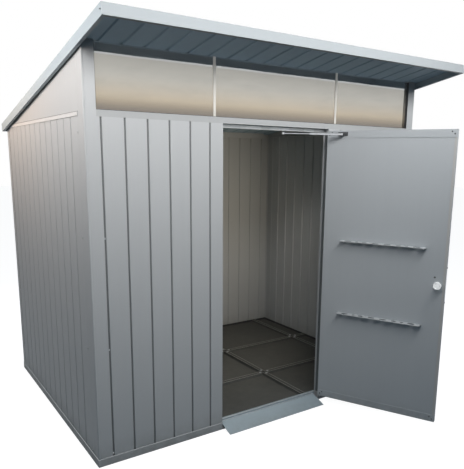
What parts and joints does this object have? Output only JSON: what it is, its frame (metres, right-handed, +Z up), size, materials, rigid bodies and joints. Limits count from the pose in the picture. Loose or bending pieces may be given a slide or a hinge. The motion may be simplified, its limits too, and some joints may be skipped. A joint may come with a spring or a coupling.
{
  "type": "metal tool shed",
  "caption": "Walk-in metal tool shed with ribbed walls, a single-pitch roof, a window strip under the eave, a ramp and a side-hung door with tool rails and a stay.",
  "frame": {"origin": "middle of the footprint between the wall faces, on the ground under the floor", "axes": "+X to the right along the front, +Y from the front to the back, +Z up"},
  "size_m": [2.476, 2.5552, 2.3101],
  "materials": {
    "wall_paint": "satin silver paint",
    "door_paint": "satin silver paint",
    "trim_paint": "pale satin paint",
    "roof_paint": "satin silver paint",
    "floor_steel": "dull dark steel",
    "ramp_plate": "satin blue-grey plate",
    "window_acrylic": "tinted glossy sheet",
    "zinc_fittings": "zinc plated",
    "bracket_steel": "dark satin",
    "knob_plastic": "glossy white"
  },
  "bodies": {
    "shed": {"front_wall_left": "wall_paint", "front_wall_right": "wall_paint", "left_wall": "wall_paint", "right_wall": "wall_paint", "rear_wall": "wall_paint", "left_gable": "wall_paint", "right_gable": "wall_paint", "corner_post_front_left": "wall_paint", "corner_post_front_right": "wall_paint", "corner_post_rear_left": "wall_paint", "corner_post_rear_right": "wall_paint", "base_rail_front": "wall_paint", "base_rail_rear": "wall_paint", "base_rail_left": "wall_paint", "base_rail_right": "wall_paint", "door_jamb_left": "wall_paint", "door_jamb_right": "wall_paint", "rear_top_rail": "wall_paint", "window_head_rail": "wall_paint", "left_wall_rail": "trim_paint", "right_wall_rail": "trim_paint", "window_sill_rail": "trim_paint", "window_mullions": "trim_paint", "door_header_bar": "trim_paint", "fascia_front": "trim_paint", "fascia_rear": "trim_paint", "fascia_left": "trim_paint", "fascia_right": "trim_paint", "roof_sheet": "roof_paint", "floor_panel": "floor_steel", "floor_ridges_long": "floor_steel", "floor_ridges_cross": "floor_steel", "door_ramp": "ramp_plate", "threshold": "ramp_plate", "window_pane_left": "window_acrylic", "window_pane_centre": "window_acrylic", "window_pane_right": "window_acrylic", "hinge_frame_leaves": "zinc_fittings", "stay_bracket_header": "bracket_steel"},
    "door": {"door_skin": "door_paint", "door_liner": "door_paint", "door_top_rail": "door_paint", "door_bottom_rail": "door_paint", "tool_rail_upper": "zinc_fittings", "tool_rail_lower": "zinc_fittings", "hinge_door_leaves": "zinc_fittings", "stay_bracket_door": "bracket_steel"},
    "knob": {"door_knob": "knob_plastic"},
    "stay_barrel": {"stay_tube": "zinc_fittings"},
    "stay_plunger": {"stay_rod": "bracket_steel"}
  },
  "joints": [
    {"name": "door_hinge", "type": "hinge", "parent": "shed", "child": "door", "pos_m": [0.39, -0.888, 0.95], "axis": [0, 0, 1], "range_deg": [-116, 0]},
    {"name": "stay_swing", "type": "hinge", "parent": "door", "child": "stay_barrel", "pos_m": [0.37892, -1.01356, 1.839], "axis": [0, 0, 1], "range_deg": [-1, 150]},
    {"name": "stay_slide", "type": "slide", "parent": "stay_barrel", "child": "stay_plunger", "axis": [0.8712, -0.491, 0], "range_m": [-0.001, 0.147]},
    {"name": "knob_turn", "type": "hinge", "parent": "door", "child": "knob", "pos_m": [0.70254, -1.57558, 0.942], "axis": [-0.8988, -0.4384, 0], "range_deg": [0, 90]}
  ],
  "couplings": [
    {"joint": "stay_swing", "follows": "door_hinge", "ratio": -1.2709},
    {"joint": "stay_slide", "follows": "door_hinge", "m_per_rad": -0.071465}
  ]
}
